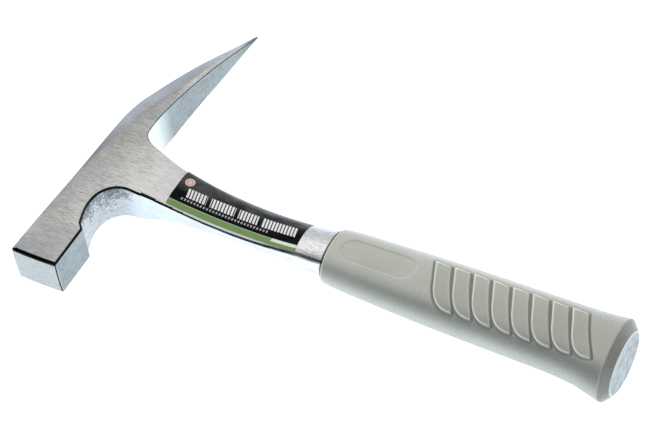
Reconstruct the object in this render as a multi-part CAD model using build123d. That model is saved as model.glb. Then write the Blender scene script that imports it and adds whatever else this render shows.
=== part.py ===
from build123d import *
from math import copysign, cos, pi, sin
import os

os.makedirs("parts", exist_ok=True)

# A one-piece forged rock hammer lying on its side.
# Design frame, mm: X runs down the handle from the back of the poll, Y runs from the handle's axis
# towards the pick, and Z is the thickness, with 0 on the plane that halves the hammer.

# ---------------------------------------------------------------- driving dimensions
HEAD_HALF = 10.7          # half the thickness of the head's cheeks
CHEEK_CHAMFER = 1.2       # ground edge round the poll and throat
POLL_WIDTH = 24.3         # striking face, along X
FACE_Y = -65.0            # plane of the striking face
HEEL_Y = -40.5            # where the poll's underside ends
NOTCH = 2.8               # small step between the poll's heel and the throat
TIP_X = 32.3              # point of the pick
TIP_Y = 109.4
TIP_HALF = 0.35           # half the width and thickness of the blunted point

SHANK_START = 32.5        # the shank's oval form begins here, inside the head
HEAD_END = 34.0           # the head's flat cheeks end here
HEAD_END_Y = (-11.2, 15.9)
HEAD_END_HALF = 10.35
HEAD_THINNING_X = 27.0    # the cheeks start to close in towards the shank
SHANK_STEPS = 3           # sections between two stations of the shank

MOUTH_X = 135.4           # open end of the grip sleeve
TANG_END = 262.0
BUTT_RIM_X = 277.0        # widest ring of the butt
BUTT_X = 281.0            # flat end face
BUTT_Y = (-18.4, 14.2)    # lower and upper edge of the flat end face
BUTT_HALF = 12.6

BOND_GAP = 0.3            # adhesive between tang and sleeve
BOND_START = MOUTH_X + 1.2
LABEL_FILM = 0.2
LABEL_X = (50.2, 119.4)
LABEL_EDGE_Y = -8.6

PAD_COUNT = 8
PAD_PITCH = 9.63
PAD_X = 184.3             # front upper corner of the first pad
PAD_TOP_Y = 8.4
PAD_BOTTOM_Y = -13.9
PAD_WIDTH = 8.0
PAD_SLANT = 10.4          # how far a pad's lower end lies further down the handle
GROOVE_WIDTH = (1.5, 0.5)  # from a pad's front edge to its groove's far edge, along X and Y
GROOVE_DEPTH = 0.7

PANEL_X = (141.0, 179.0)
PANEL_Y = -1.5
PANEL_HALF = 6.2
PANEL_DEPTH = 0.4

# Shank and tang: station along X, lower edge, upper edge, half thickness, squareness of the oval.
SHANK = (
    (SHANK_START, -11.0, 15.7, 10.2, 8.0),
    (40.0, -11.0, 15.0, 9.4, 6.0),
    (50.0, -11.0, 14.1, 8.0, 4.0),
    (63.0, -11.0, 12.8, 6.5, 2.8),
    (78.0, -10.9, 11.6, 5.4, 2.2),
    (95.0, -10.8, 10.8, 5.1, 2.0),
    (110.0, -10.8, 10.8, 6.0, 2.0),
    (124.0, -11.4, 11.3, 7.8, 2.1),
    (136.0, -12.5, 12.5, 9.7, 2.3),
    (143.0, -12.0, 12.0, 9.2, 2.4),
    (160.0, -10.0, 10.0, 6.0, 3.5),
    (210.0, -9.0, 9.0, 5.0, 4.0),
    (TANG_END, -8.0, 8.0, 4.5, 4.0),
)

# Grip: station along X, lower edge, upper edge and half thickness of its oval section.
GRIP = (
    (MOUTH_X, -14.3, 14.3, 11.0),
    (143.0, -15.2, 15.1, 11.7),
    (165.0, -16.3, 16.0, 12.6),
    (190.0, -17.2, 16.9, 13.4),
    (220.0, -17.7, 17.5, 13.9),
    (250.0, -18.1, 17.8, 14.4),
    (262.0, -19.1, 17.9, 15.0),
    (270.0, -20.9, 18.3, 16.0),
    (BUTT_RIM_X, -22.7, 18.9, 17.2),
)

# Pick: station along Y, half thickness, X of the crease and slope of the bevel behind it.
PICK = (
    (18.0, HEAD_HALF, 9.8, 0.30),
    (30.0, HEAD_HALF, 11.8, 0.32),
    (42.0, 10.3, 15.4, 0.36),
    (54.0, 9.0, 18.6, 0.42),
    (66.0, 7.6, 21.0, 0.45),
    (78.0, 6.1, 23.4, 0.48),
    (90.0, 4.1, 27.0, 0.50),
    (100.0, 2.3, 30.0, 0.50),
    (TIP_Y + 0.5, TIP_HALF, TIP_X, 0.20),
)
BEVEL_START = (-32.0, HEAD_HALF, 1.5, 0.24)
BACK_EDGE = ((25.3, 96.4), (14.7, 74.7), (5.8, 51.0), (2.9, 24.0), (2.4, -12.0))
UNDERSIDE = ((24.7, 19.4), (21.4, 25.0), (21.7, 37.0), (25.1, 66.9), (29.3, 91.0))
THROAT = ((19.0, -28.5), (20.2, -18.2), (27.5, -11.6))
INNER_X = 60.0            # well inside of the pick's underside
OUTER_MARGIN = 2.0        # how far the thickness form passes behind the back edge


def back_x(y):
    """X of the head's back edge at y, along straight chords."""
    points = [(FACE_Y, 0.0), *((y, x) for x, y in reversed(BACK_EDGE)), (TIP_Y + 1, TIP_X)]
    for (y0, x0), (y1, x1) in zip(points, points[1:]):
        if y <= y1:
            return x0 + (x1 - x0) * (y - y0) / (y1 - y0)


def head_outline():
    """Side view of poll, throat, shank root and pick."""
    heel = (POLL_WIDTH, HEEL_Y)
    notch = (POLL_WIDTH - NOTCH, HEEL_Y + NOTCH)
    lower_end, upper_end = ((HEAD_END, y) for y in HEAD_END_Y)
    tip_in = (TIP_X + TIP_HALF, TIP_Y - 0.5)
    tip_out = (TIP_X - TIP_HALF, TIP_Y - 0.5)
    poll = Polyline((0, FACE_Y), (POLL_WIDTH, FACE_Y), heel, notch)
    throat = Spline(notch, *THROAT, lower_end)
    underside = Spline(upper_end, *UNDERSIDE, tip_in)
    tip = ThreePointArc(tip_in, (TIP_X, TIP_Y), tip_out)
    back = Spline(tip_out, *BACK_EDGE, (0, FACE_Y))
    return make_face([*poll.edges(), throat, Line(lower_end, upper_end), underside, tip, back])


def pick_section(y, half, crease, slope):
    """Flat cheeks up to the crease, then a bevel that falls towards the back edge."""
    outer = back_x(y) - OUTER_MARGIN
    edge = max(half - slope * (crease - outer), 0.3 * half)
    corners = ((INNER_X, half), (crease, half), (outer, edge),
               (outer, -edge), (crease, -half), (INNER_X, -half))
    return Plane.XZ.offset(-y) * Polygon(*corners, align=None)


def thickness_form():
    """Thickness of the head: parallel cheeks, with bevels that grow towards the pick."""
    rows = [pick_section(*row) for row in PICK]
    root = loft([pick_section(*BEVEL_START), rows[0]], ruled=True)
    cheeks = slab(-25, 65, FACE_Y, BEVEL_START[0], -HEAD_HALF, HEAD_HALF)
    return cheeks + root + loft(rows)


def oval(low, high, half, squareness):
    """Closed curve between an ellipse (2) and a rounded rectangle (large values)."""
    power = 2 / squareness
    points = []
    for i in range(24):
        c, s = cos(i * pi / 12), sin(i * pi / 12)
        y = (low + high) / 2 + copysign(abs(c) ** power, c) * (high - low) / 2
        points.append((y, copysign(abs(s) ** power, s) * half))
    return make_face(Spline(*points, periodic=True))


def between(rows, i, t):
    """Smooth value of every column at fraction t between rows i and i + 1."""
    before, start, end, after = (rows[max(0, min(len(rows) - 1, k))] for k in range(i - 1, i + 3))
    run = end[0] - start[0]
    values = [start[0] + run * t]
    for column in range(1, len(start)):
        p, q = start[column], end[column]
        slope_p = run * (q - before[column]) / (end[0] - before[0])
        slope_q = run * (after[column] - p) / (after[0] - start[0])
        rise = slope_p * t * (1 - t) ** 2 - slope_q * t ** 2 * (1 - t)
        values.append(p + (q - p) * t ** 2 * (3 - 2 * t) + rise)
    return values


def shank_solid(grow=0.0):
    """Shank and tang, or the same form grown outwards by a film's thickness."""
    rows = [between(SHANK, i, t / SHANK_STEPS) for i in range(len(SHANK) - 1)
            for t in range(SHANK_STEPS)]
    rows.append(SHANK[-1])
    sections = []
    for x, low, high, half, squareness in rows:
        end = grow if x == TANG_END else 0.0
        section = oval(low - grow, high + grow, half + grow, squareness)
        sections.append(Plane.YZ.offset(x + end) * section)
    return loft(sections, ruled=True)


def slab(x0, x1, y0, y1, z0, z1):
    """Axis-aligned block between two corners."""
    return Pos((x0 + x1) / 2, (y0 + y1) / 2, (z0 + z1) / 2) * Box(x1 - x0, y1 - y0, z1 - z0)


def forged_body():
    """Poll, pick, shank and tang in one piece of steel."""
    blank = extrude(head_outline(), HEAD_HALF, both=True)
    ground = [e for e in blank.edges() if abs(e.center().Z) > HEAD_HALF - 0.01
              and e.bounding_box().max.Y < 0]
    head = chamfer(ground, CHEEK_CHAMFER) & thickness_form()
    start = (HEAD_THINNING_X, HEAD_HALF)
    end = (HEAD_END, HEAD_END_HALF)
    above = Polyline(end, (HEAD_END, 15), (HEAD_THINNING_X, 15), start)
    crown = Spline(start, end, tangents=((1, 0), (1, -0.1)))
    relief = extrude(Plane.XZ * make_face([*above.edges(), crown]), 30, both=True)
    return head - relief - mirror(relief, Plane.XY) + shank_solid()


def grip_section(x, low, high, half):
    return Plane.YZ.offset(x) * Pos((low + high) / 2, 0) * Ellipse((high - low) / 2, half)


def grip_form(grow=0.0):
    """Outer form of the grip up to its widest ring."""
    return loft([grip_section(x, low - grow, high + grow, half + grow)
                 for x, low, high, half in GRIP])


def groove_outline(index):
    """Side view of the groove in front of a pad. The last one only runs down the last pad's rear."""
    x = PAD_X + index * PAD_PITCH
    edge = [(x, PAD_TOP_Y), (x + 0.46 * PAD_SLANT, -3.7), (x + 0.79 * PAD_SLANT, -10.6)]
    if index < PAD_COUNT:
        edge += [(x + 1.13 * PAD_SLANT, -13.2), (x + PAD_SLANT + PAD_WIDTH, PAD_BOTTOM_Y)]
    far_edge = [(px - GROOVE_WIDTH[0], py - GROOVE_WIDTH[1]) for px, py in reversed(edge)]
    ends = [Line(edge[-1], far_edge[0]), Line(far_edge[-1], edge[0])]
    return make_face([Spline(*edge), Spline(*far_edge), *ends])


def grip_sleeve(cavity):
    """Vinyl sleeve with grooves round the pads on both sides, and a shallow oval panel."""
    end_face = grip_section(BUTT_X, *BUTT_Y, BUTT_HALF)
    body = grip_form() + loft([grip_section(*GRIP[-1]), end_face], ruled=True)
    body = fillet(body.edges().sort_by(Axis.X)[0], 0.8)
    core = grip_form(-GROOVE_DEPTH)
    for index in range(PAD_COUNT + 1):
        groove = Pos(0, 0, 5) * extrude(groove_outline(index), 20) - core
        body = body - groove - mirror(groove, Plane.XY)
    length = PANEL_X[1] - PANEL_X[0]
    panel = Pos(sum(PANEL_X) / 2, PANEL_Y, 5) * extrude(SlotOverall(length, 2 * PANEL_HALF), 20)
    panel -= grip_form(-PANEL_DEPTH)
    return body - panel - mirror(panel, Plane.XY) - cavity


def in_place(shape):
    """Moves a piece from the design frame to the part's own frame."""
    return Pos(-BUTT_X / 2, -(FACE_Y + TIP_Y) / 2, GRIP[-1][3]) * shape


shank = shank_solid()
bond_form = shank_solid(BOND_GAP)
label_form = shank_solid(LABEL_FILM)
mouth_range = slab(MOUTH_X - 2, BUTT_X, -30, 30, -30, 30)
bond_range = slab(BOND_START, BUTT_X, -30, 30, -30, 30)
label_range = slab(*LABEL_X, LABEL_EDGE_Y, 30, 0, 30)

parts = {
    "forged_hammer_body": forged_body(),
    "grip_sleeve": grip_sleeve(bond_form & mouth_range),
    "grip_bond": (bond_form & bond_range) - shank,
    "shank_label": (label_form & label_range) - shank,
}
for name, shape in parts.items():
    export_step(in_place(shape), f"parts/{name}.step")
    print(name, round(shape.volume / 1000, 2), "cm3", len(shape.solids()), "solid(s)")
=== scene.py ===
import math

import bpy
import numpy as np
from mathutils import Matrix, Vector
from mathutils.geometry import delaunay_2d_cdt


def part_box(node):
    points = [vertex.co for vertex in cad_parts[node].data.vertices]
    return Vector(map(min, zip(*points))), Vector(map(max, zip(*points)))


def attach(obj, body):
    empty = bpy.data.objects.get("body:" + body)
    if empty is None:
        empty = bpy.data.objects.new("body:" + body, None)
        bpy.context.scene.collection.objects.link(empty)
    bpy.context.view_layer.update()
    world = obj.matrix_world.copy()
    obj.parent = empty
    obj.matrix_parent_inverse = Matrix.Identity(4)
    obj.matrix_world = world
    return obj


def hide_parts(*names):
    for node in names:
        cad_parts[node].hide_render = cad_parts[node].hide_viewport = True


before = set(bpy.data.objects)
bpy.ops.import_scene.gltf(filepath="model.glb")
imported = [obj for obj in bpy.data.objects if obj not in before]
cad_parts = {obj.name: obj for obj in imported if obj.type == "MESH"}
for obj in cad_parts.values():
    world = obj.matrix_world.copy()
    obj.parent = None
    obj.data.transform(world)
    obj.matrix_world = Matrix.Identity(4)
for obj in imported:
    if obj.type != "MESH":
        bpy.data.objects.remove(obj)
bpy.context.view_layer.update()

# ---------------------------------------------------------------- design frame
# Design sizes are in mm: X down the handle from the back of the poll, Y from the handle's axis
# towards the pick, Z up from the plane that halves the hammer. ORIGIN puts them in the CAD frame.
MM = 0.001
AXIS_ABOVE_FACE = 65.0
head_low, head_high = (Vector(c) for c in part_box("forged_hammer_body"))
ORIGIN = np.array([head_low.x, head_low.y + AXIS_ABOVE_FACE * MM, (head_low.z + head_high.z) / 2])

HEAD_HALF = 10.7
CHEEK_CHAMFER = 0.78
FACE_CHAMFER = 1.35       # the striking face's own edges are ground a little wider
PICK_EDGE = 0.32          # rounding of the pick's cheek edges
POLL_WIDTH = 24.3
FACE_Y = -AXIS_ABOVE_FACE
HEEL_Y = -40.5
NOTCH = 2.8
TIP = (32.3, 109.4)
TIP_RADIUS = 0.35
CORNER_RADIUS = 0.45      # rounding of the poll's upright edges
MITRE_REACH = 8.0         # how far from a corner the cheek's ribs lean into its mitre
JOIN_X = 60.0             # section where the head's mesh meets the shank's
TANG_END = 262.0
MOUTH_X = 135.4
BUTT_RIM_X = 277.0
BUTT_X = 281.0
BUTT_END = (-18.4, 14.2, 12.6)
BUTT_DISH = 0.12          # hollow of the flat end face
BOND_GAP = 0.3
CAVITY_END = TANG_END + BOND_GAP
MOUTH_LIP = 0.35
LABEL_X = (50.2, 119.4)
LABEL_EDGE_Y = -8.6
LABEL_FILM = 0.2

SHANK_START = 32.5
# Shank and tang: X, lower edge, upper edge, half thickness, squareness of the oval.
SHANK = np.array([
    (SHANK_START, -11.0, 15.7, 10.2, 8.0),
    (40.0, -11.0, 15.0, 9.4, 6.0),
    (50.0, -11.0, 14.1, 8.0, 4.0),
    (63.0, -11.0, 12.8, 6.5, 2.8),
    (78.0, -10.9, 11.6, 5.4, 2.2),
    (95.0, -10.8, 10.8, 5.1, 2.0),
    (110.0, -10.8, 10.8, 6.0, 2.0),
    (124.0, -11.4, 11.3, 7.8, 2.1),
    (136.0, -12.5, 12.5, 9.7, 2.3),
    (143.0, -12.0, 12.0, 9.2, 2.4),
    (160.0, -10.0, 10.0, 6.0, 3.5),
    (210.0, -9.0, 9.0, 5.0, 4.0),
    (TANG_END, -8.0, 8.0, 4.5, 4.0),
])

# Grip: X, lower edge, upper edge, half thickness of its oval section.
GRIP = np.array([
    (MOUTH_X, -14.3, 14.3, 11.0),
    (143.0, -15.2, 15.1, 11.7),
    (165.0, -16.3, 16.0, 12.6),
    (190.0, -17.2, 16.9, 13.4),
    (220.0, -17.7, 17.5, 13.9),
    (250.0, -18.1, 17.8, 14.4),
    (262.0, -19.1, 17.9, 15.0),
    (270.0, -20.9, 18.3, 16.0),
    (BUTT_RIM_X, -22.7, 18.9, 17.2),
])

# Head: Y, half thickness, X of the bevel's crease, slope of the bevel behind the crease.
HEAD = np.array([
    (-65.0, HEAD_HALF, -4.0, 0.24),
    (-32.0, HEAD_HALF, 1.5, 0.24),
    (0.0, HEAD_HALF, 6.8, 0.28),
    (18.0, HEAD_HALF, 9.8, 0.30),
    (30.0, HEAD_HALF, 11.8, 0.32),
    (42.0, 10.3, 15.4, 0.36),
    (54.0, 9.0, 18.6, 0.42),
    (66.0, 7.6, 21.0, 0.45),
    (78.0, 6.1, 23.4, 0.48),
    (90.0, 4.1, 27.0, 0.50),
    (100.0, 2.3, 30.0, 0.50),
    (TIP[1] + 0.5, TIP_RADIUS, TIP[0], 0.20),
])
CREASE_ROUND = 1.3        # softness of the bevel's crease
FACE_CROWN = 0.8          # the striking face's corners lie this far back from its middle
CROWN_REACH = 4.0

# Gripping pads, as grooves of even width round slanted outlines.
PAD_COUNT = 8
PAD_PITCH = 9.63
PAD_X = 184.3
PAD_TOP_Y = 8.4
PAD_BOTTOM_Y = -13.9
PAD_WIDTH = 8.0
PAD_SLANT = 10.4
GROOVE_WIDTH = 0.9
GROOVE_DEPTH = 0.7
PANEL_X = (141.0, 179.0)
PANEL_Y = -1.5
PANEL_HALF = 6.2
PANEL_DEPTH = 0.4


# ---------------------------------------------------------------- curves and sections
def table(rows, x):
    """Every column of rows at x, by a smooth (Hermite) curve through the rows."""
    x = np.clip(np.asarray(x, float), rows[0, 0], rows[-1, 0])
    i = np.clip(np.searchsorted(rows[:, 0], x, side="right") - 1, 0, len(rows) - 2)
    last = len(rows) - 1
    before, start, end, after = (rows[np.clip(i + k, 0, last)] for k in (-1, 0, 1, 2))
    run = end[..., 0] - start[..., 0]
    t = (x - start[..., 0]) / run
    columns = []
    for c in range(1, rows.shape[1]):
        p, q = start[..., c], end[..., c]
        slope_p = run * (q - before[..., c]) / (end[..., 0] - before[..., 0])
        slope_q = run * (after[..., c] - p) / (after[..., 0] - start[..., 0])
        ease = t ** 2 * (3 - 2 * t)
        columns.append(p + (q - p) * ease + slope_p * t * (1 - t) ** 2 - slope_q * t ** 2 * (1 - t))
    return columns


def smooth(edge0, edge1, value):
    t = np.clip((value - edge0) / (edge1 - edge0), 0, 1)
    return t * t * (3 - 2 * t)


def rounded(start, corner, end, t):
    """Point at fraction t of the curve that rounds a corner."""
    return (1 - t) ** 2 * start + 2 * t * (1 - t) * corner + t ** 2 * end


def spline(points, step):
    """Natural cubic spline through the points, sampled about every step mm."""
    points = np.array(points, float)
    chords = np.hypot(*np.diff(points, axis=0).T)
    knots = np.concatenate([[0], np.cumsum(chords)])
    n = len(points)
    system, right = np.eye(n), np.zeros((n, 2))
    for i in range(1, n - 1):
        system[i, i - 1:i + 2] = chords[i - 1], 2 * (chords[i - 1] + chords[i]), chords[i]
        rise_after = (points[i + 1] - points[i]) / chords[i]
        rise_before = (points[i] - points[i - 1]) / chords[i - 1]
        right[i] = 6 * (rise_after - rise_before)
    bend = np.linalg.solve(system, right)
    s = np.linspace(0, knots[-1], max(2, round(knots[-1] / step)) + 1)
    i = np.clip(np.searchsorted(knots, s, side="right") - 1, 0, n - 2)
    h = chords[i][:, None]
    a = (knots[i + 1] - s)[:, None] / h
    b = 1 - a
    curve = a * points[i] + b * points[i + 1]
    return curve + ((a ** 3 - a) * bend[i] + (b ** 3 - b) * bend[i + 1]) * h ** 2 / 6


def oval_point(low, high, half, squareness, angle):
    """Point of a shank section; the angle is 0 at the upper edge (+Y) and 90 degrees on top."""
    c, s = np.cos(angle), np.sin(angle)
    power = 2 / squareness
    y = (low + high) / 2 + np.sign(c) * np.abs(c) ** power * (high - low) / 2
    return y, np.sign(s) * np.abs(s) ** power * half


def at_x(x, y, z):
    """Points of a section, all at one X."""
    return np.stack([np.full(len(y), x), y, z], 1)


# ---------------------------------------------------------------- mesh helpers
def mesh_object(name, points, faces, materials, face_material=None):
    """Smooth-shaded object from points in the design frame."""
    mesh = bpy.data.meshes.new(name)
    placed = np.asarray(points, float) * MM + ORIGIN
    mesh.from_pydata(placed.tolist(), [], [tuple(int(k) for k in f) for f in faces])
    for material in materials:
        mesh.materials.append(material)
    if face_material is not None:
        mesh.polygons.foreach_set("material_index", np.asarray(face_material, np.int32))
    mesh.polygons.foreach_set("use_smooth", np.ones(len(mesh.polygons), bool))
    mesh.validate()
    mesh.update()
    piece = bpy.data.objects.new(name, mesh)
    bpy.context.scene.collection.objects.link(piece)
    return piece


def ring_faces(rings, count):
    """Quads between consecutive closed rings of count points each."""
    faces = []
    for r in range(rings - 1):
        a, b = r * count, (r + 1) * count
        for k in range(count):
            n = (k + 1) % count
            faces.append((a + k, a + n, b + n, b + k))
    return faces


def add_attribute(piece, name, values):
    layer = piece.data.attributes.new(name, "FLOAT", "POINT")
    layer.data.foreach_set("value", np.asarray(values, np.float32))


# ---------------------------------------------------------------- shader helpers
class Tree:
    """Short way to write a node tree."""

    def __init__(self, tree):
        self.tree = tree

    def put(self, value, socket):
        """Links or sets a socket; a tuple is a colour without its alpha."""
        if isinstance(value, bpy.types.NodeSocket):
            self.tree.links.new(value, socket)
        else:
            socket.default_value = (*value, 1.0) if isinstance(value, tuple) else value

    def add(self, kind, **inputs):
        """New node with inputs linked or set by name; an underscore stands for a space."""
        node = self.tree.nodes.new("ShaderNode" + kind)
        for key, value in inputs.items():
            self.put(value, node.inputs[key.replace("_", " ")])
        return node

    def math(self, operation, *values):
        node = self.add("Math")
        node.operation = operation
        for value, socket in zip(values, node.inputs):
            self.put(value, socket)
        return node.outputs[0]

    def mix(self, factor, a, b):
        node = self.add("Mix")
        node.data_type = "RGBA"
        for value, k in ((factor, 0), (a, 6), (b, 7)):
            self.put(value, node.inputs[k])
        return node.outputs[2]


class Nodes(Tree):
    """Node tree of a new material with one Principled shader."""

    def __init__(self, name):
        self.material = bpy.data.materials.new(name)
        self.material.use_nodes = True
        super().__init__(self.material.node_tree)
        self.tree.nodes.clear()
        self.shader = self.add("BsdfPrincipled")
        self.add("OutputMaterial", Surface=self.shader.outputs["BSDF"])
        self.position = self.add("TexCoord").outputs["Object"]

    def noise(self, scale, detail=3.0, roughness=0.55, distortion=0.0):
        """Noise between about 0.2 and 0.8; scale is cycles per mm along X, Y and Z."""
        place = self.add("Mapping", Vector=self.position, Scale=[s / MM for s in scale])
        return self.add("TexNoise", Vector=place.outputs[0], Scale=1.0, Detail=detail,
                        Roughness=roughness, Distortion=distortion).outputs["Fac"]

    def spread(self, value, low, high, to_low=0.0, to_high=1.0):
        """Moves value from low..high to to_low..to_high, and clamps it there."""
        return self.add("MapRange", Value=value, From_Min=low, From_Max=high,
                        To_Min=to_low, To_Max=to_high).outputs["Result"]

    def over(self, band, to_low=0.0, to_high=1.0):
        """Goes from to_low to to_high over a band of places along one axis."""
        axis, low, high = band
        place = self.add("SeparateXYZ", Vector=self.position).outputs[axis]
        return self.spread(place, low, high, to_low, to_high)

    def attribute(self, name):
        node = self.add("Attribute")
        node.attribute_name = name
        return node.outputs["Fac"]

    def bump(self, height, strength, distance):
        node = self.add("Bump", Height=height, Strength=strength, Distance=distance)
        self.put(node.outputs["Normal"], self.shader.inputs["Normal"])

    def set(self, **values):
        names = {"color": "Base Color", "metallic": "Metallic", "roughness": "Roughness",
                 "specular": "Specular IOR Level", "anisotropy": "Anisotropic",
                 "emission": "Emission Color", "glow": "Emission Strength"}
        for key, value in values.items():
            self.put(value, self.shader.inputs[names[key]])


# ---------------------------------------------------------------- materials
def band_along(axis, low, high):
    """Band between two places of the design frame, as its axis and the places in the CAD frame."""
    start = ORIGIN["XYZ".index(axis)]
    return axis, start + low * MM, start + high * MM


POLL_Y = band_along("Y", -38.0, -60.0)                    # cheek gets darker towards the striking face
FACE_END = band_along("Y", FACE_Y + 1.2, FACE_Y + 1.8)    # the striking face's own colour ends
ROOT_Y = band_along("Y", -20.0, 0.0)                      # walls get bright at the pick's root
PICK_Y = band_along("Y", 30.0, 42.0)                      # and lose that brightness again
MIDDLE_Y = band_along("Y", 6.0, 28.0)                     # the back's bevel gets paler
CREASE_Y = band_along("Y", 15.0, 45.0)                    # painted shade along its crease grows darker
UPPER_Y = band_along("Y", 30.0, 62.0)                     # the bevel gets dark, the cheek beside it pale
TIP_Y = band_along("Y", TIP[1] - 10.0, TIP[1] - 2.0)      # dark point of the pick
ROOT_X = band_along("X", 20.0, 40.0)                      # paler steel towards the shank
THROAT_END = band_along("X", 27.0, 35.0)                  # the throat's forge scale ends
WORN_X = band_along("X", 106.0, 121.0)                    # streaked steel in front of the grip
SEAT_X = band_along("X", MOUTH_X - 1.7, MOUTH_X - 1.1)    # painted shadow: dark line where the steel enters the grip
LIP_X = band_along("X", MOUTH_X + 0.3, MOUTH_X + 0.7)     # painted highlight on the lip of the grip's mouth
BUTT_SIDE_X = band_along("X", 225.0, 272.0)               # grip gets darker towards the butt
CREST_X = band_along("X", BUTT_RIM_X - 0.7, BUTT_RIM_X + 0.3)    # painted shade on the taper behind the butt's rim
END_X = band_along("X", BUTT_X - 0.42, BUTT_X - 0.2)      # painted highlight: a bright line round the end face
THROAT_Z = band_along("Z", -8.0, 9.0)                     # more forge scale towards the upper cheek


def seat_line(n, base):
    """Colour base with a painted shadow: a dark line where the steel enters the grip."""
    return n.mix(n.over(SEAT_X, 0.0, 0.9), base, (0.03, 0.03, 0.03))


def brushed_steel():
    """Cheeks: streaks along the handle, faint warm clouding, a cooler ground bevel."""
    n = Nodes("steel_brushed")
    streak = n.noise((0.16, 1.9, 0.8), detail=4.0, roughness=0.7)
    fine = n.noise((0.42, 4.2, 2.0), detail=3.0, roughness=0.7)
    cloud = n.noise((0.06, 0.07, 0.06), detail=4.0, roughness=0.65)
    tint = n.noise((0.035, 0.04, 0.035), detail=2.0)
    bevel = n.attribute("bevel")
    base = n.mix(n.spread(bevel, -15.0, -1.0), (0.68, 0.69, 0.67), (0.47, 0.48, 0.49))
    base = n.mix(n.spread(tint, 0.42, 0.58, 0.3, 0.0), base, (0.62, 0.60, 0.52))
    base = n.mix(n.over(POLL_Y), base, (0.47, 0.48, 0.50))
    root = n.over(ROOT_X)
    base = n.mix(root, base, (0.86, 0.855, 0.84))
    worn = n.over(WORN_X)
    base = n.mix(worn, base, (0.88, 0.875, 0.905))
    scratch = n.noise((0.14, 1.3, 1.3), detail=4.0, roughness=0.7)
    base = n.mix(n.math("MULTIPLY", worn, n.spread(scratch, 0.5, 0.62, 0.0, 0.55)), base, (0.42, 0.42, 0.45))
    upper = n.over(UPPER_Y)
    strip = n.math("MULTIPLY", n.math("POWER", upper, 2.0), n.spread(bevel, -1.2, 0.3, 0.95, 0.0))
    base = n.mix(strip, base, (0.88, 0.87, 0.80))
    ground = n.mix(n.over(MIDDLE_Y), (0.25, 0.265, 0.29), (0.55, 0.56, 0.585))
    ground = n.mix(upper, ground, (0.27, 0.27, 0.29))
    base = n.mix(n.spread(bevel, 0.6, 2.6, 0.0, 0.9), base, ground)
    # Painted shade along the bevel's crease.
    crease = n.math("MULTIPLY", n.spread(bevel, -1.6, 0.5), n.spread(bevel, 0.4, 2.8, 1.0, 0.0))
    along = n.over(CREASE_Y, 0.2, 0.6)
    base = n.mix(n.math("MULTIPLY", crease, along), base, (0.40, 0.40, 0.385))
    base = n.mix(n.over(TIP_Y, 0.0, 0.95), base, (0.08, 0.08, 0.085))
    shade = n.math("MULTIPLY_ADD", streak, 1.1, n.math("MULTIPLY", fine, 1.3))
    shade = n.math("ADD", shade, n.spread(cloud, 0.3, 0.7, -0.09, 0.09))
    dark = n.mix(root, (0.29, 0.29, 0.30), (0.58, 0.575, 0.59))
    n.set(color=seat_line(n, n.mix(n.spread(shade, 0.93, 1.33), dark, base)), metallic=1.0)
    n.set(roughness=n.spread(shade, 0.8, 1.5, 0.44, 0.28), anisotropy=0.3)
    n.bump(n.math("MULTIPLY_ADD", fine, 0.6, streak), 0.6, 0.00012)
    return n.material


def shank_steel():
    """Shank's rounded sides: polished along their length, duller and streaked towards the grip."""
    n = Nodes("steel_shank")
    streak = n.noise((0.05, 2.0, 2.0), detail=3.0)
    scratch = n.noise((0.12, 1.1, 1.1), detail=4.0, roughness=0.7)
    cloud = n.noise((0.08, 0.2, 0.2), detail=3.0)
    worn = n.over(WORN_X)
    base = n.mix(n.spread(cloud, 0.35, 0.65), (0.63, 0.67, 0.71), (0.71, 0.745, 0.78))
    base = n.mix(worn, base, n.mix(n.spread(scratch, 0.4, 0.6), (0.62, 0.61, 0.65), (0.90, 0.89, 0.92)))
    n.set(color=seat_line(n, base), metallic=1.0)
    n.set(roughness=n.math("ADD", n.spread(streak, 0.3, 0.7, 0.10, 0.18), n.math("MULTIPLY", worn, 0.08)))
    n.bump(n.math("MULTIPLY_ADD", n.math("MULTIPLY", worn, scratch), 3.0, streak), 0.14, 0.0001)
    return n.material


def satin_steel():
    """Walls of poll and pick: mottled, bluish grey."""
    n = Nodes("steel_satin")
    mottle = n.noise((0.55, 0.55, 0.55), detail=5.0, roughness=0.7)
    cloud = n.noise((0.07, 0.07, 0.12), detail=3.0)
    base = n.mix(n.spread(mottle, 0.36, 0.64), (0.215, 0.24, 0.25), (0.36, 0.385, 0.395))
    base = n.mix(n.spread(cloud, 0.4, 0.7, 0.0, 0.45), base, (0.40, 0.445, 0.465))
    base = n.mix(n.over(TIP_Y, 0.0, 0.85), base, (0.12, 0.13, 0.14))
    root = n.math("MULTIPLY", n.over(ROOT_Y), n.over(PICK_Y, 1.0, 0.0))
    base = n.mix(n.math("MULTIPLY", root, 0.9), base, (0.84, 0.87, 0.88))
    face = n.mix(n.spread(mottle, 0.36, 0.64), (0.375, 0.40, 0.40), (0.525, 0.54, 0.535))
    n.set(color=n.mix(n.over(FACE_END), face, base), metallic=1.0)
    n.set(roughness=n.spread(mottle, 0.3, 0.7, 0.24, 0.42))
    n.bump(mottle, 0.35, 0.00015)
    return n.material


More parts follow.
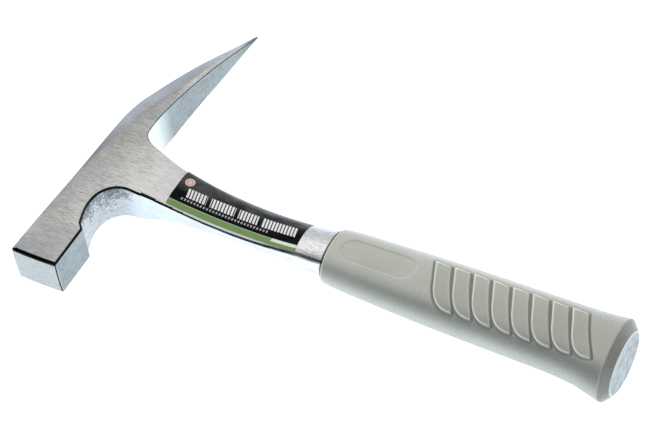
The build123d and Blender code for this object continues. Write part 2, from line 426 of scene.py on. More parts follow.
def pitted_steel():
    """Throat: forge scale left in the pits of a bright ground wall."""
    n = Nodes("steel_pitted")
    pits = n.noise((0.85, 0.85, 0.7), detail=5.0, roughness=0.7, distortion=0.3)
    patch = n.noise((0.12, 0.12, 0.09), detail=2.0)
    height = n.over(THROAT_Z, -0.16, 0.12)
    amount = n.math("ADD", n.math("ADD", pits, n.math("MULTIPLY", patch, 0.5)), height)
    scale = n.math("MULTIPLY", n.spread(amount, 0.76, 0.96), n.over(THROAT_END, 1.0, 0.0))
    smear = n.noise((0.25, 0.25, 0.5), detail=4.0, roughness=0.7)
    ground = n.mix(n.spread(smear, 0.45, 0.7), (0.54, 0.555, 0.575), (0.36, 0.375, 0.41))
    ground = n.mix(n.over(THROAT_END), ground, (0.65, 0.69, 0.73))
    n.set(color=n.mix(scale, ground, (0.17, 0.185, 0.205)), metallic=1.0)
    n.set(roughness=n.spread(scale, 0.0, 1.0, 0.17, 0.5))
    n.bump(n.math("MULTIPLY", scale, -1.0), 0.6, 0.0003)
    return n.material


def edge_steel():
    """Ground chamfers: smoother and darker than the cheeks, near black as a painted dark reflection, with
    small nicks.
    """
    n = Nodes("steel_edge")
    nick = n.noise((0.5, 0.5, 0.5), detail=4.0, roughness=0.7)
    n.set(color=n.mix(n.spread(nick, 0.3, 0.7), (0.012, 0.012, 0.013), (0.035, 0.035, 0.037)), metallic=1.0)
    n.set(roughness=n.spread(nick, 0.3, 0.7, 0.10, 0.2))
    n.bump(nick, 0.2, 0.0002)
    return n.material


def grip_vinyl():
    """Warm grey satin vinyl with a fine moulded grain and patchy dirt; painted shade in its grooves, along
    its lower side and behind the butt's rim; painted highlights on the pad rims, the mouth's lip and round
    the end face.
    """
    n = Nodes("grip_vinyl")
    grain = n.noise((3.2, 3.2, 3.2), detail=2.0)
    cloud = n.noise((0.05, 0.06, 0.06), detail=3.0)
    grime = n.noise((0.35, 0.35, 0.35), detail=4.0, roughness=0.7)
    base = n.mix(n.spread(cloud, 0.3, 0.7), (0.55, 0.57, 0.505), (0.595, 0.61, 0.555))
    base = n.mix(n.spread(grime, 0.55, 0.8, 0.0, 0.2), base, (0.42, 0.41, 0.36))
    base = n.mix(n.over(BUTT_SIDE_X, 0.0, 0.35), base, (0.30, 0.295, 0.26))
    base = n.mix(n.spread(n.attribute("pad"), 0.0, 1.0, 0.0, 0.5), base, (0.43, 0.445, 0.37))
    # Painted shade: darker band along the lower side.
    base = n.mix(n.attribute("painted_lower_shade"), base, (0.08, 0.09, 0.085))
    # Painted shade on the taper behind the butt's rim.
    base = n.mix(n.over(CREST_X, 0.0, 0.9), base, (0.22, 0.22, 0.195))
    # Painted shade in the grooves.
    base = n.mix(n.spread(n.attribute("groove"), 0.2, 0.9, 0.0, 0.85), base, (0.16, 0.155, 0.125))
    # Painted highlights on the mouth's lip, the pad rims and round the end face.
    lip = n.over(LIP_X, 0.8, 0.0)
    bright = n.math("MAXIMUM", n.spread(n.attribute("rim"), 0.1, 0.8, 0.0, 0.95), lip)
    bright = n.math("MAXIMUM", bright, n.over(END_X, 0.0, 0.75))
    n.set(color=n.mix(bright, base, (0.90, 0.91, 0.89)), specular=0.7)
    n.set(roughness=n.spread(n.math("ADD", grime, grain), 0.7, 1.3, 0.22, 0.36))
    n.bump(grain, 0.12, 0.0001)
    return n.material


def butt_vinyl():
    """End face of the grip: the same vinyl, mottled, with a cooler, paler colour that is a painted
    reflection of the white floor.
    """
    n = Nodes("grip_end_face")
    mottle = n.noise((0.7, 0.25, 0.25), detail=5.0, roughness=0.7)
    n.set(color=n.mix(n.spread(mottle, 0.35, 0.65), (0.25, 0.295, 0.315), (0.64, 0.69, 0.71)))
    n.set(roughness=n.spread(mottle, 0.3, 0.7, 0.3, 0.55))
    n.bump(mottle, 0.3, 0.0002)
    return n.material


def adhesive():
    n = Nodes("adhesive")
    lump = n.noise((1.0, 1.0, 1.0), detail=4.0)
    n.set(color=n.mix(n.spread(lump, 0.3, 0.7), (0.015, 0.014, 0.013), (0.05, 0.045, 0.04)))
    n.set(roughness=n.spread(lump, 0.3, 0.7, 0.4, 0.7))
    n.bump(lump, 0.4, 0.0002)
    return n.material


steel = [brushed_steel(), satin_steel(), pitted_steel(), edge_steel(), shank_steel()]
CHEEK, WALL, PITTED, EDGE, SHANK_STEEL = range(5)
vinyl = [grip_vinyl(), butt_vinyl()]


# ---------------------------------------------------------------- forged head and shank
def head_height(x, y):
    """Half thickness of the head over its side view."""
    half, crease, slope = table(HEAD, y)
    root = table(SHANK, np.maximum(x, SHANK_START))[2]
    shank_fall = np.where(x > SHANK_START, root, HEAD_HALF - 0.4 * smooth(22, 34, x))
    narrowing = np.where(y < 24, shank_fall / HEAD_HALF, 1.0)
    behind = (crease - x) / CREASE_ROUND
    drop = slope * CREASE_ROUND * np.logaddexp(0, behind)
    return np.maximum(half * narrowing - drop, 0.3 * half)


def oval_height(x, y):
    low, high, half, squareness = table(SHANK, x)
    u = np.clip(np.abs(y - (low + high) / 2) / ((high - low) / 2), 0, 1)
    return half * (1 - u ** squareness) ** (1 / squareness)


def shank_share(x, y):
    """0 on the head's flat cheeks and upright walls, 1 on the oval shank."""
    return np.where((y < 19.5) & (y > -14), smooth(31, 47, x), 0.0)


def unit(v):
    return v / np.linalg.norm(v, axis=-1, keepdims=True)


def head_outline():
    """Open outline from the shank's upper edge round the pick and poll to its lower edge.

    Each row is a point, the direction of its rib across the cheek, the chamfer's width, the rib's
    length and the wall's material.
    """
    step = 0.45           # mm from rib to rib
    low, high = table(SHANK, JOIN_X)[:2]
    under = spline([(JOIN_X, high), (50, 14.1), (41.5, 14.85), (34, 15.85), (28.6, 17.5), (24.6, 19.7),
                    (21.9, 22.8), (21.3, 26.5), (21.7, 37.0), (25.1, 66.9), (29.3, 91.0),
                    (TIP[0] + TIP_RADIUS, TIP[1] - 0.5)], step)
    turn = np.linspace(0, math.pi, 7)[1:-1]
    cap = np.stack([TIP[0] + TIP_RADIUS * np.cos(turn), TIP[1] - 0.5 + 0.5 * np.sin(turn)], 1)
    back = spline([(TIP[0] - TIP_RADIUS, TIP[1] - 0.5), (25.3, 96.4), (14.7, 74.7), (5.8, 51.0),
                   (2.9, 24.0), (2.4, -12.0), (0.75, -46.0), (0, FACE_Y)], step)
    corners = np.array([(0, FACE_Y), (POLL_WIDTH, FACE_Y), (POLL_WIDTH, HEEL_Y),
                        (POLL_WIDTH - NOTCH, HEEL_Y + NOTCH)])
    throat = spline([corners[3], (19.0, -28.5), (20.2, -18.2), (24.0, -13.6), (28.5, -11.5), (34, -11.15),
                     (41, -11.0), (50, -11.0), (JOIN_X, low)], step)
    straights = [np.linspace(a, b, max(3, round(np.linalg.norm(b - a) / step)))
                 for a, b in zip(corners, corners[1:])]
    pieces = [(piece, WALL) for piece in (under, cap, back, *straights)] + [(throat, PITTED)]
    ends_at_corner = (2, 3, 4, 5)

    points, ribs, mats = [], [], []
    for piece, mat in pieces:
        along = unit(np.gradient(piece, axis=0))
        rib = np.stack([-along[:, 1], along[:, 0]], 1)
        points.append(piece)
        ribs.append(rib)
        mats.append(np.full(len(piece), mat))

    # Mitred ribs at the poll's corners, which lean back to square over a short way.
    for index in ends_at_corner:
        n0, n1 = ribs[index][-1], ribs[index + 1][0]
        mitre = (n0 + n1) / (1 + n0 @ n1)
        for k, at_end in ((index, True), (index + 1, False)):
            gap = np.linalg.norm(points[k] - (points[k][-1] if at_end else points[k][0]), axis=1)
            reach = min(MITRE_REACH, gap.max())
            share = np.clip(1 - gap / reach, 0, 1)[:, None]
            ribs[k] = ribs[k] + share * (mitre - (n0 if at_end else n1))

    # Each corner's point gives way to a short round; the one at the face's end nearer the grip takes the
    # near-black edge steel, a painted dark reflection.
    for index in ends_at_corner:
        corner = points[index][-1]
        before = corner + unit(points[index][-2] - corner) * CORNER_RADIUS
        after = corner + unit(points[index + 1][1] - corner) * CORNER_RADIUS
        middle = corner / 2 + (before + after) / 4
        mitre = ribs[index][-1]
        keep = np.linalg.norm(points[index] - corner, axis=1) > CORNER_RADIUS * 1.3
        points[index] = np.concatenate([points[index][keep], [before, middle]])
        ribs[index] = np.concatenate([ribs[index][keep], [mitre, mitre]])
        line = np.full(2, EDGE if index == 3 else mats[index][-1])
        mats[index] = np.concatenate([mats[index][keep], line])
        keep = np.linalg.norm(points[index + 1] - corner, axis=1) > CORNER_RADIUS * 1.3
        points[index + 1] = np.concatenate([[after], points[index + 1][keep]])
        ribs[index + 1] = np.concatenate([[mitre], ribs[index + 1][keep]])
        mats[index + 1] = np.concatenate([mats[index + 1][:1], mats[index + 1][keep]])

    points, ribs, mats = np.concatenate(points), np.concatenate(ribs), np.concatenate(mats)
    fresh = np.concatenate([[True], np.linalg.norm(np.diff(points, axis=0), axis=1) > 0.02])
    points, ribs, mats = points[fresh], ribs[fresh], mats[fresh]
    x, y = points.T
    share = shank_share(x, y)[:, None]
    upright = np.stack([np.zeros(len(x)), np.where(y > 0, -1.0, 1.0)], 1)
    ribs = ribs * (1 - share) + upright * share
    poll_side = (y < 12) & (x > 8) | (y < FACE_Y + 0.3)
    chamfer = np.where(poll_side, CHEEK_CHAMFER, PICK_EDGE)
    chamfer = np.where(y < FACE_Y + 0.3, FACE_CHAMFER, chamfer)
    width = np.where(y > 20, spline_width(y), 99.0)
    length = np.minimum(2.4 + 0.9 * smooth(-14.0, -24.0, y), 0.3 * width)
    chamfer = np.minimum(chamfer, 0.55 * length)
    return points, ribs, chamfer, length, mats


def spline_width(y):
    """Width of the pick in side view."""
    front = np.interp(y, (20, 26, 37, 66.9, 91, TIP[1]), (24.0, 21.3, 21.7, 25.1, 29.3, TIP[0]))
    back = np.interp(y, (20, 24, 51, 74.7, 96.4, TIP[1]), (3.0, 2.9, 5.8, 14.7, 25.3, TIP[0]))
    return np.maximum(front - back, 2 * TIP_RADIUS)


WALL_ROWS = 18            # rows from the mid-plane up the wall
# Profile of the edge in chamfer widths: how far under the cheek and how far in from the wall.
EDGE_DROP = np.array([1.06, 0.94, 0.06, 0.0, 0.0])
EDGE_IN = np.array([0.0, 0.06, 0.94, 1.06, 1.25])


def rib_points(points, ribs, chamfer, length):
    """Points of every rib, from the mid-plane up the wall and over the edge onto the cheek."""
    c, reach = chamfer[:, None], length[:, None]
    inner = 1.25 * c + (reach - 1.25 * c) * np.array([0.5, 1.0])
    in_head = np.concatenate([np.zeros((len(points), WALL_ROWS + 1)), EDGE_IN * c, inner], 1)
    at = points[:, None, :] + in_head[..., None] * ribs[:, None, :]
    cheek = head_height(at[..., 0], at[..., 1])
    climb = np.linspace(0, 1, WALL_ROWS + 1) * (cheek[:, :1] - 1.25 * c)
    z_head = cheek - np.concatenate([np.zeros_like(climb), EDGE_DROP * c, np.zeros_like(inner)], 1)
    z_head[:, :WALL_ROWS + 1] = climb

    low, high, half, n = (v[:, None] for v in table(SHANK, points[:, 0]))
    a = (high - low) / 2
    top = (1 - (1 - reach / a) ** n) ** (1 / n)
    share = np.concatenate([np.linspace(0, 0.8, WALL_ROWS + 1), np.linspace(0.8, 1, 8)[1:]])
    v = top * share
    in_oval = a * (1 - (1 - v ** n) ** (1 / n))
    w = shank_share(points[:, 0], points[:, 1])[:, None]
    depth = (1 - w) * in_head + w * in_oval
    z = (1 - w) * z_head + w * v * half
    xy = points[:, None, :] + depth[..., None] * ribs[:, None, :]
    last = xy[:, -1]
    z[:, -1] = surface_height(last[:, 0], last[:, 1])
    middle = POLL_WIDTH / 2
    bow = ((xy[..., 0] - middle) / middle) ** 2 / 2 + (z / HEAD_HALF) ** 2 / 2
    fade = np.clip(1 - (xy[..., 1] - FACE_Y) / CROWN_REACH, 0, 1)
    xy[..., 1] += FACE_CROWN * bow * fade
    return np.concatenate([xy, z[..., None]], 2)


def surface_height(x, y):
    w = shank_share(x, y)
    return (1 - w) * head_height(x, y) + w * oval_height(np.maximum(x, SHANK_START), y)


def inside(points, loop):
    """Which points lie inside a closed loop."""
    result = np.zeros(len(points), bool)
    px, py = points.T
    for (x0, y0), (x1, y1) in zip(loop, np.roll(loop, -1, axis=0)):
        if y0 != y1:
            crosses = (y0 > py) != (y1 > py)
            result ^= crosses & (px < (x1 - x0) * (py - y0) / (y1 - y0) + x0)
    return result


def distance_to(points, loop):
    """Distance from each point to a closed loop of chords, and the nearest place on it."""
    best, place = np.full(len(points), np.inf), np.zeros((len(points), 2))
    for p, q in zip(loop, np.roll(loop, -1, axis=0)):
        chord = q - p
        length2 = chord @ chord
        if length2 < 1e-12:
            continue
        t = np.clip((points - p) @ chord / length2, 0, 1)
        foot = p + t[:, None] * chord
        gap = np.hypot(*(points - foot).T)
        place[gap < best] = foot[gap < best]
        best = np.minimum(best, gap)
    return best, place


def cheek_mesh(loop):
    """Triangles that fill the cheek inside the ribs' ends."""
    spacing = 0.85        # mm between the grid's points
    low, high = loop.min(0), loop.max(0)
    columns, rows = (np.arange(low[k] + 0.4, high[k], spacing) for k in range(2))
    gx, gy = np.meshgrid(columns, rows)
    gx = gx + np.where(np.arange(len(rows)) % 2, spacing / 2, 0)[:, None]
    grid = np.stack([gx.ravel(), gy.ravel()], 1)
    grid = grid[inside(grid, loop)]
    grid = grid[distance_to(grid, loop)[0] > 0.35]
    count = len(loop)
    edges = [(i, (i + 1) % count) for i in range(count)]
    everything = [Vector(p) for p in np.concatenate([loop, grid])]
    points, _, faces, origin, _, _ = delaunay_2d_cdt(everything, edges, [], 1, 1e-7)
    back = np.zeros(len(points), int)
    for k, sources in enumerate(origin):
        back[k] = sources[0]
    return grid, [tuple(int(back[k]) for k in f) for f in faces]


def corner_rows(x):
    """Rows above the wall that carry the dark edge, a painted dark reflection, on along the shank's lower
    corner.
    """
    return (2, 3, 4, 5) if x < 45 else (1, 2, 3, 4) if x < 54 else (1, 2, 3)


def forged_body():
    points, ribs, chamfer, length, mats = head_outline()
    band = rib_points(points, ribs, chamfer, length)
    count, rows = band.shape[:2]
    ends = band[:, -1]
    upper, lower = ends[0], ends[-1]
    closing_y = np.linspace(lower[1], upper[1], round((upper[1] - lower[1]) / 0.6) + 1)[1:-1]
    closing = np.stack([np.full(len(closing_y), JOIN_X), closing_y], 1)
    loop = np.concatenate([ends[:, :2], closing])
    grid, fill = cheek_mesh(loop)
    flat = np.concatenate([closing, grid])
    flat = np.column_stack([flat, surface_height(flat[:, 0], flat[:, 1])])

    top = np.concatenate([band.reshape(-1, 3), flat])
    verts = [top]
    total = len(top)
    on_plane = np.zeros(total, bool)
    on_plane[np.arange(count) * rows] = True
    under_index = np.full(total, -1)
    under_index[on_plane] = np.flatnonzero(on_plane)
    under_index[~on_plane] = total + np.arange((~on_plane).sum())
    verts.append(top[~on_plane] * (1, 1, -1))
    total += int((~on_plane).sum())

    quads, slots = [], []
    for i in range(count - 1):
        on_shank = shank_share(*points[i]) > 0.35
        edge_end = WALL_ROWS + (5 if chamfer[i] > 0.5 else 3)
        for j in range(rows - 1):
            a = i * rows + j
            quads.append((a, a + 1, a + rows + 1, a + rows))
            if on_shank and points[i, 1] < 0 and j - WALL_ROWS in corner_rows(points[i, 0]):
                slots.append(EDGE)
            elif on_shank:
                slots.append(SHANK_STEEL if j < WALL_ROWS + 5 else CHEEK)
            elif j < WALL_ROWS + 1:
                slots.append(int(mats[i]))
            else:
                slots.append(EDGE if j < edge_end else CHEEK)
    loop_index = np.concatenate([np.arange(count) * rows + rows - 1,
                                 count * rows + np.arange(len(flat))])
    triangles = [tuple(loop_index[k] for k in f) for f in fill]
    slots += [CHEEK] * len(triangles)
    faces = [tuple(reversed(f)) for f in quads] + triangles
    mirrored = [tuple(under_index[k] for k in reversed(f)) for f in faces]
    faces = faces + mirrored
    slots = slots + slots

    # Ring at the join: over the top from the lower edge to the upper edge, and back underneath.
    lower_rib = (count - 1) * rows + np.arange(rows)
    upper_rib = np.arange(rows)
    over = np.concatenate([lower_rib, count * rows + np.arange(len(closing)), upper_rib[::-1]])
    ring = np.concatenate([over, under_index[over[1:-1]][::-1]])
    verts = np.concatenate(verts)
    join = verts[ring]
    low, high, half, n = (float(v) for v in table(SHANK, JOIN_X))
    u = np.clip((join[:, 1] - (low + high) / 2) / ((high - low) / 2), -1, 1)
    v = np.clip(join[:, 2] / half, -1, 1)
    angle = np.arctan2(np.sign(v) * np.abs(v) ** (n / 2), np.sign(u) * np.abs(u) ** (n / 2))
    stations = np.concatenate([np.arange(JOIN_X + 0.8, MOUTH_X + 2, 0.8),
                               np.linspace(MOUTH_X + 3, TANG_END, 40)])
    rings = []
    for x in stations:
        low, high, half, n = table(SHANK, x)
        rings.append(at_x(x, *oval_point(low, high, half, n, angle)))
    start = len(verts)
    size = len(ring)
    low, high = table(SHANK, TANG_END)[:2]
    centre = np.array([[TANG_END, (low + high) / 2, 0]])
    verts = np.concatenate([verts, *rings, centre])
    half_ring = len(over)
    step = np.arange(size)
    from_lower = np.where(step < half_ring, step, size - step)
    from_edge = np.minimum(from_lower, half_ring - 1 - from_lower)
    kind = np.where(from_edge < WALL_ROWS + 6, SHANK_STEEL, CHEEK)
    index = [ring] + [start + r * size + np.arange(size) for r in range(len(stations))]
    for a, b in zip(index, index[1:]):
        for k in range(size):
            m = (k + 1) % size
            faces.append((a[k], b[k], b[m], a[m]))
            slots.append(int(kind[k]))
    tip_index = len(verts) - 1
    for k in range(size):
        faces.append((index[-1][k], tip_index, index[-1][(k + 1) % size]))
        slots.append(CHEEK)
    piece = mesh_object("steel_forging", verts, faces, steel, slots)
    behind_crease = table(HEAD, verts[:, 1])[1] - verts[:, 0]
    add_attribute(piece, "bevel", np.where(verts[:, 1] > -40, behind_crease, -9))
    return piece


# ---------------------------------------------------------------- grip sleeve
def pad_outline(index):
    x = PAD_X + index * PAD_PITCH
    front = spline([(x, PAD_TOP_Y), (x + 0.46 * PAD_SLANT, -3.7), (x + 0.79 * PAD_SLANT, -10.6),
                    (x + 1.13 * PAD_SLANT, -13.2), (x + PAD_SLANT + PAD_WIDTH, PAD_BOTTOM_Y)], 0.8)
    rear = spline([(x + PAD_SLANT + PAD_WIDTH, PAD_BOTTOM_Y), (x + 0.55 * PAD_SLANT + PAD_WIDTH, -5.6),
                   (x + PAD_WIDTH, PAD_TOP_Y - 0.5)], 0.8)
    return np.concatenate([front, rear[1:]])


def sleeve_relief(x, y, z):
    """Depth of the skin under its smooth form, and its share of groove (painted shade), bright rim (painted
    highlight) and pad.
    """
    depth, groove, rim, pad = (np.zeros(len(x)) for _ in range(4))
    on_side = np.abs(z) > 3
    for index in range(PAD_COUNT):
        outline = pad_outline(index)
        low, high = outline.min(0) - 2, outline.max(0) + 2
        near = on_side & (x > low[0]) & (x < high[0]) & (y > low[1]) & (y < high[1])
        spots = np.stack([x[near], y[near]], 1)
        gap, place = distance_to(spots, outline)
        within = inside(spots, outline)
        away = unit(np.where(within[:, None], place - spots, spots - place) + 1e-9)
        gap = np.where(within, -gap, gap)
        cut = smooth(-0.35, 0.3, gap) * smooth(GROOVE_WIDTH + 0.55, GROOVE_WIDTH - 0.1, gap)
        top_edge = smooth(PAD_TOP_Y - 0.6, PAD_TOP_Y + 0.1, spots[:, 1])
        cut = cut * (1 - 0.75 * top_edge)
        crown = 0.12 * smooth(-0.3, -2.0, gap)
        depth[near] = np.maximum(depth[near], GROOVE_DEPTH * cut) + crown * (gap < 0)
        # Painted shade in the groove, lighter along the pad's lower side.
        under = np.clip(away @ np.array([0.25, -0.97]), 0, 1)
        groove[near] = np.maximum(groove[near], cut * (1 - 0.55 * under))
        # Painted highlight on the rims that face the front and the top.
        from_front = np.clip(away @ np.array([-0.85, -0.55]), 0, 1)
        from_top = np.clip(away @ np.array([0.1, 0.99]), 0, 1)
        lit = from_front + from_top ** 3
        edge = np.exp(-((gap + 0.42) / 0.34) ** 2) * np.minimum(lit, 1)
        rim[near] = np.maximum(rim[near], edge)
        pad[near] = np.maximum(pad[near], smooth(-0.2, -1.2, gap))
    middle = (PANEL_X[0] + PANEL_HALF, PANEL_X[1] - PANEL_HALF)
    along = np.clip(x, *middle)
    gap = np.hypot(x - along, y - PANEL_Y) - PANEL_HALF
    depth += np.where(on_side, PANEL_DEPTH * smooth(0.15, -0.3, gap), 0)
    # Painted shadow along the panel's upper edge, painted highlight along its lower edge.
    upper = smooth(-2.0, 3.0, y - PANEL_Y - 0.5 * (x - along))
    edge = np.where(on_side, np.exp(-((gap + 0.1) / 0.3) ** 2), 0)
    groove = np.maximum(groove, 0.45 * edge * upper)
    rim = np.maximum(rim, 0.4 * edge * (1 - upper))
    return depth, groove, rim, pad


def grip_sleeve():
    around = 360
    angle = np.arange(around) * 2 * math.pi / around
    rings = []

    def oval_ring(x, low, high, half):
        y = (low + high) / 2 + (high - low) / 2 * np.cos(angle)
        rings.append(at_x(x, y, half * np.sin(angle)))

    cavity = [CAVITY_END] + list(np.linspace(TANG_END, MOUTH_X + 8, 40)) + list(
        np.linspace(MOUTH_X + 7, MOUTH_X + 0.5, 14))
    for x in cavity:
        low, high, half, n = table(SHANK, x)
        rings.append(at_x(x, *oval_point(low - BOND_GAP, high + BOND_GAP, half + BOND_GAP, n, angle)))
    low, high, half, n = table(SHANK, MOUTH_X)
    for x, grow, thicker in ((MOUTH_X + 0.25, 0.45, 0.45), (MOUTH_X, 0.8, 0.55)):
        rings.append(at_x(x, *oval_point(low - grow, high + grow, half + thicker, n, angle)))
    for turn in np.linspace(0, math.pi / 2, 7):
        inset = MOUTH_LIP * (1 - math.sin(turn))
        x = MOUTH_X + MOUTH_LIP * (1 - math.cos(turn))
        low, high, half = table(GRIP, x)
        oval_ring(x, low + inset, high - inset, half - inset)
    outer_start = len(rings)
    for x in np.concatenate([np.arange(MOUTH_X + 1.1, 183, 0.42), np.arange(183, 274.5, 0.3),
                             np.arange(274.5, BUTT_RIM_X - 0.55, 0.3)]):
        oval_ring(x, *(float(v) for v in table(GRIP, x)))
    outer_end = len(rings)
    # Rounded crest, the tapering band behind it and the rim of the flat end face.
    widest = GRIP[-1, 1:]
    end = np.array(BUTT_END)
    before = np.array([float(v) for v in table(GRIP, BUTT_RIM_X - 0.6)])
    after = widest + (end - widest) * 0.1
    crest = [(BUTT_RIM_X - 0.6, before)]
    for t in (0.25, 0.5, 0.75, 1.0):
        x = rounded(BUTT_RIM_X - 0.6, BUTT_RIM_X, BUTT_RIM_X + 0.4, t)
        crest.append((x, rounded(before, widest, after, t)))
    for t in np.linspace(0.14, 0.9, 14):
        crest.append((BUTT_RIM_X + (BUTT_X - BUTT_RIM_X) * t, widest + (end - widest) * t))
    near_end = widest + (end - widest) * 0.92
    near_end_x = BUTT_RIM_X + (BUTT_X - BUTT_RIM_X) * 0.92
    inner = end - np.array([-0.7, 0.7, 0.7])
    for t in (0.0, 0.25, 0.5, 0.75, 1.0):
        crest.append((rounded(near_end_x, BUTT_X, BUTT_X, t), rounded(near_end, end, inner, t)))
    for x, (low, high, half) in crest:
        oval_ring(x, low, high, half)
    face_start = len(rings)
    middle = (BUTT_END[0] + BUTT_END[1]) / 2
    low, high, half = inner
    for share in np.linspace(0.95, 0.05, 22):
        oval_ring(BUTT_X - BUTT_DISH * smooth(0.98, 0.7, share), middle + (low - middle) * share,
                  middle + (high - middle) * share, half * share)
    verts = np.concatenate(rings)
    groove, rim, pad, painted_lower_shade = (np.zeros(len(verts)) for _ in range(4))
    span = slice(outer_start * around, outer_end * around)
    x, y, z = verts[span].T
    depth, groove[span], rim[span], pad[span] = sleeve_relief(x, y, z)
    low, high, half = table(GRIP, x)
    normal = unit(np.stack([(y - (low + high) / 2) / ((high - low) / 2) ** 2, z / half ** 2], 1))
    verts[span, 1:] -= normal * depth[:, None]
    # Painted shade: a dark band along the lower side, by the angle between the skin's normal and the
    # mid-plane.
    rise = np.degrees(np.arcsin(np.abs(normal[:, 1])))
    strength = np.interp(x, (140, 270), (0.5, 0.7)) * (normal[:, 0] < 0)
    painted_lower_shade[span] = smooth(68, 32, rise) * smooth(4, 36, rise) * strength
    faces = ring_faces(len(rings), around)
    slots = [0] * len(faces)
    for k in range((face_start - 1) * around, len(faces)):
        slots[k] = 1
    low, high = table(SHANK, CAVITY_END)[:2]
    verts = np.concatenate([verts, [[CAVITY_END, (low + high) / 2, 0], [BUTT_X - BUTT_DISH, middle, 0]]])
    first, last = len(verts) - 2, len(verts) - 1
    final = (len(rings) - 1) * around
    for k in range(around):
        n = (k + 1) % around
        faces.append((n, k, first))
        slots.append(0)
        faces.append((final + k, final + n, last))
        slots.append(1)
    piece = mesh_object("vinyl_grip", verts, faces, vinyl, slots)
    for name, share in (("groove", groove), ("rim", rim), ("pad", pad), ("painted_lower_shade", painted_lower_shade)):
        add_attribute(piece, name, np.concatenate([share, [0, 0]]))
    return piece


# ---------------------------------------------------------------- label
def label_print():
    """Black gloss film with a green stripe and plain marks where a maker would put words."""
    n = Nodes("label_print")
    u, v = n.attribute("along"), n.attribute("around")
    wear = n.noise((0.8, 0.8, 0.8), detail=4.0, roughness=0.7)
    soft = 0.05           # half width of each printed edge's blur, mm

    def band(value, low, high):
        rise = n.spread(value, low - soft, low + soft)
        return n.math("MULTIPLY", rise, n.spread(value, high - soft, high + soft, 1.0, 0.0))

    def both(a, b):
        return n.math("MULTIPLY", a, b)

    black, white = (0.004, 0.005, 0.007), (0.98, 0.99, 0.98)
    green, disc_red = (0.235, 0.385, 0.13), (0.62, 0.30, 0.24)
    length = LABEL_X[1] - LABEL_X[0]
    step = length * 0.80
    tail = n.spread(n.math("MULTIPLY_ADD", v, -0.6, u), step - 1.2, step - 1.1)
    color = n.mix(band(v, -1.0, 2.9), black, green)
    color = n.mix(band(v, 2.9, 3.2), color, (0.60, 0.66, 0.56))
    color = n.mix(both(tail, band(v, 1.8, 3.3)), color, white)

    # Large row: groups of upright strokes that stand for words.
    slant = n.math("MULTIPLY_ADD", v, 0.22, u)
    stroke = band(n.math("PINGPONG", slant, 0.85), 0.30, 2.0)
    row = None
    for start, end in ((8.6, 19.2), (21.4, 34.6), (36.6, 47.0), (49.0, 68.0)):
        word = band(slant, start, end)
        row = word if row is None else n.math("MAXIMUM", row, word)
    row = both(row, band(v, 7.0, 12.2))
    color = n.mix(both(row, stroke), color, white)
    small = both(band(v, 4.9, 6.1), band(u, 5.0, 53.0))
    tick = band(n.math("PINGPONG", u, 0.85), 0.42, 2.0)
    color = n.mix(both(both(small, tick), n.spread(wear, 0.2, 0.5, 0.25, 0.5)), color, white)

    # Plain disc with a ring.
    du = n.math("SUBTRACT", u, 4.6)
    dv = n.math("SUBTRACT", v, 15.6)
    radius = n.math("SQRT", n.math("ADD", both(du, du), both(dv, dv)))
    color = n.mix(n.spread(radius, 2.35, 2.5, 1.0, 0.0), color, (0.80, 0.62, 0.55))
    color = n.mix(band(radius, 1.25, 1.75), color, disc_red)
    patch = n.noise((0.12, 0.3, 0.3), detail=3.0, roughness=0.65)
    gloss = n.math("MULTIPLY", n.spread(v, 9.0, 17.0, 0.06, 1.4), n.spread(patch, 0.35, 0.65, 0.35, 1.2))
    n.set(color=color, specular=gloss)
    n.set(roughness=n.spread(n.math("ADD", wear, patch), 0.7, 1.2, 0.12, 0.3))
    n.bump(wear, 0.05, 0.0001)
    return n.material


def printed_label():
    """Film that wraps from the stripe's lower edge over the shank's upper side."""
    columns = np.arange(LABEL_X[0], LABEL_X[1] + 0.2, 0.4)
    columns[-1] = LABEL_X[1]
    rows = 70
    skins, along, around = [], [], []
    for grow in (0.02, LABEL_FILM):
        skin = []
        for x in columns:
            low, high, half, n = (float(v) for v in table(SHANK, x))
            middle, reach = (low + high) / 2, (high - low) / 2
            u = (LABEL_EDGE_Y - middle) / reach
            start = math.atan2((1 - abs(u) ** n) ** 0.5, -abs(u) ** (n / 2))
            angle = np.linspace(start, 0.02, rows)
            y, z = oval_point(low - grow, high + grow, half + grow, n, angle)
            skin.append(at_x(x, y, z))
            length = np.concatenate([[0], np.cumsum(np.hypot(np.diff(y), np.diff(z)))])
            along.append(np.full(rows, x - LABEL_X[0]))
            around.append(length)
        skins.append(np.concatenate(skin))
    count = len(columns)
    verts = np.concatenate(skins)
    outer = count * rows
    faces = []
    for i in range(count - 1):
        for j in range(rows - 1):
            a = i * rows + j
            faces.append((a, a + 1, a + rows + 1, a + rows))
            b = outer + a
            faces.append((b, b + rows, b + rows + 1, b + 1))
    border = ([i * rows for i in range(count)] + [(count - 1) * rows + j for j in range(1, rows)]
              + [i * rows + rows - 1 for i in range(count - 2, -1, -1)] + list(range(rows - 2, 0, -1)))
    for a, b in zip(border, border[1:] + border[:1]):
        faces.append((a, b, outer + b, outer + a))
    piece = mesh_object("printed_label", verts, faces, [label_print()])
    add_attribute(piece, "along", np.concatenate(along))
    add_attribute(piece, "around", np.concatenate(around))
    return piece


# ---------------------------------------------------------------- pieces
forging = forged_body()
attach(forging, "root")
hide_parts("forged_hammer_body")

grip = grip_sleeve()
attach(grip, "root")
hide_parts("grip_sleeve")

label = printed_label()
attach(label, "root")
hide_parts("shank_label")

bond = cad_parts["grip_bond"]
bond.data.materials.clear()
bond.data.materials.append(adhesive())


# ---------------------------------------------------------------- studio
BACK = Vector((-0.576, 0.817, 0.0))       # horizontal direction away from the camera


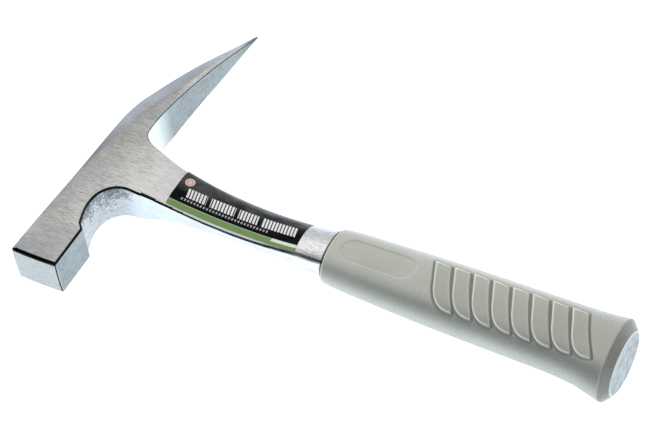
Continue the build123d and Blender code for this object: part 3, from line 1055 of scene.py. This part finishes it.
def studio_floor():
    """White table, tilted a little so that butt rim and poll both rest on it."""
    size, cells, gap = 6.0, 24, 0.0001
    rise = (HEAD_HALF - GRIP[-1, 3]) / BUTT_RIM_X
    grid = [((i / cells - 0.5) * size, (j / cells - 0.5) * size)
            for i in range(cells + 1) for j in range(cells + 1)]
    rim_x, rim_z = ORIGIN[0] + BUTT_RIM_X * MM, ORIGIN[2] - GRIP[-1, 3] * MM
    verts = [(x, y, rim_z + (x - rim_x) * rise - gap) for x, y in grid]
    faces = [(i * (cells + 1) + j, (i + 1) * (cells + 1) + j, (i + 1) * (cells + 1) + j + 1,
              i * (cells + 1) + j + 1) for i in range(cells) for j in range(cells)]
    mesh = bpy.data.meshes.new("studio_floor")
    mesh.from_pydata(verts, [], faces)
    floor = bpy.data.objects.new("studio_floor", mesh)
    bpy.context.scene.collection.objects.link(floor)
    n = Nodes("studio_floor")
    n.set(color=(0.30, 0.31, 0.32), roughness=0.9, specular=0.0, emission=(0.90, 1.0, 1.06), glow=1.16)
    mesh.materials.append(n.material)


def studio_world():
    """Bright sweep behind the hammer, soft light overhead, dark room on the camera's side."""
    world = bpy.data.worlds.new("studio")
    world.use_nodes = True
    bpy.context.scene.world = world
    n = Tree(world.node_tree)
    across, deep, height = n.add("SeparateXYZ", Vector=n.add("TexCoord").outputs["Generated"]).outputs

    def ramp(source, stops):
        node = n.add("ValToRGB", Fac=source)
        elements = node.color_ramp.elements
        while len(elements) < len(stops):
            elements.new(0.5)
        for element, (place, shade) in zip(elements, stops):
            element.position = place
            element.color = (*shade, 1.0)
        return node.outputs[0]

    away = n.math("ADD", n.math("MULTIPLY", across, BACK.x), n.math("MULTIPLY", deep, BACK.y))
    away = n.math("ADD", n.math("MULTIPLY", away, 0.5), 0.5)
    behind = ramp(away, [(0.0, (0.0,) * 3), (0.52, (0.0,) * 3), (0.70, (1.0,) * 3)])
    low, high, dark = (0.86, 0.92, 1.0), (0.88, 0.87, 0.86), (0.012,) * 3
    sweep = ramp(height, [(0.0, low), (0.22, (0.78, 0.82, 0.92)), (0.40, (0.50, 0.51, 0.55)),
                          (0.56, (0.68, 0.68, 0.655)), (0.84, high), (1.0, high)])
    room = ramp(height, [(0.0, (0.75, 0.82, 0.90)), (0.10, (0.55, 0.60, 0.66)), (0.22, dark),
                         (0.62, dark), (0.68, high), (1.0, high)])
    background = world.node_tree.nodes["Background"]
    n.put(n.mix(behind, room, sweep), background.inputs["Color"])
    n.put(1.0, background.inputs["Strength"])


def softbox(name, place, target, width, depth, power, tint):
    light = bpy.data.lights.new(name, "AREA")
    light.shape = "RECTANGLE"
    light.size, light.size_y = width, depth
    light.energy = power
    light.color = tint
    lamp = bpy.data.objects.new(name, light)
    lamp.location = place
    lamp.rotation_euler = (Vector(target) - Vector(place)).to_track_quat("-Z", "Y").to_euler()
    lamp.visible_camera = False
    bpy.context.scene.collection.objects.link(lamp)


def studio_camera():
    """Long lens, from above the butt and the striking face."""
    aim = Vector(np.array([118.81, 21.22, 0.0]) * MM + ORIGIN)
    distance = 1.07318
    pitch, azimuth, roll = (math.radians(angle) for angle in (49.330, 35.188, -8.813))
    level = math.cos(pitch)
    look = Vector((-math.sin(azimuth) * level, math.cos(azimuth) * level, -math.sin(pitch)))
    side = look.cross(Vector((0, 0, 1))).normalized()
    up = side.cross(look)
    right = side * math.cos(roll) + up * math.sin(roll)
    camera = bpy.data.cameras.new("camera")
    camera.sensor_width = 36.0
    camera.lens = 127.0
    eye = bpy.data.objects.new("camera", camera)
    rotation = Matrix((right, right.cross(look), -look)).transposed()
    eye.matrix_world = Matrix.Translation(aim - look * distance) @ rotation.to_4x4()
    bpy.context.scene.collection.objects.link(eye)
    bpy.context.scene.camera = eye


studio_floor()
studio_world()
softbox("key", (-1.04, 0.13, 0.77), (0, 0, 0), 0.9, 0.9, 1.5, (1.0, 0.985, 0.955))
softbox("back", (0.6, 0.85, 0.75), (0.05, 0, 0), 0.8, 0.8, 2.5, (1.0, 0.99, 0.97))
softbox("card", (-0.37, -0.95, 0.19), (-0.045, -0.022, 0.185), 0.6, 0.34, 0.7, (0.95, 0.98, 1.0))
studio_camera()
bpy.context.scene.view_settings.view_transform = "Standard"
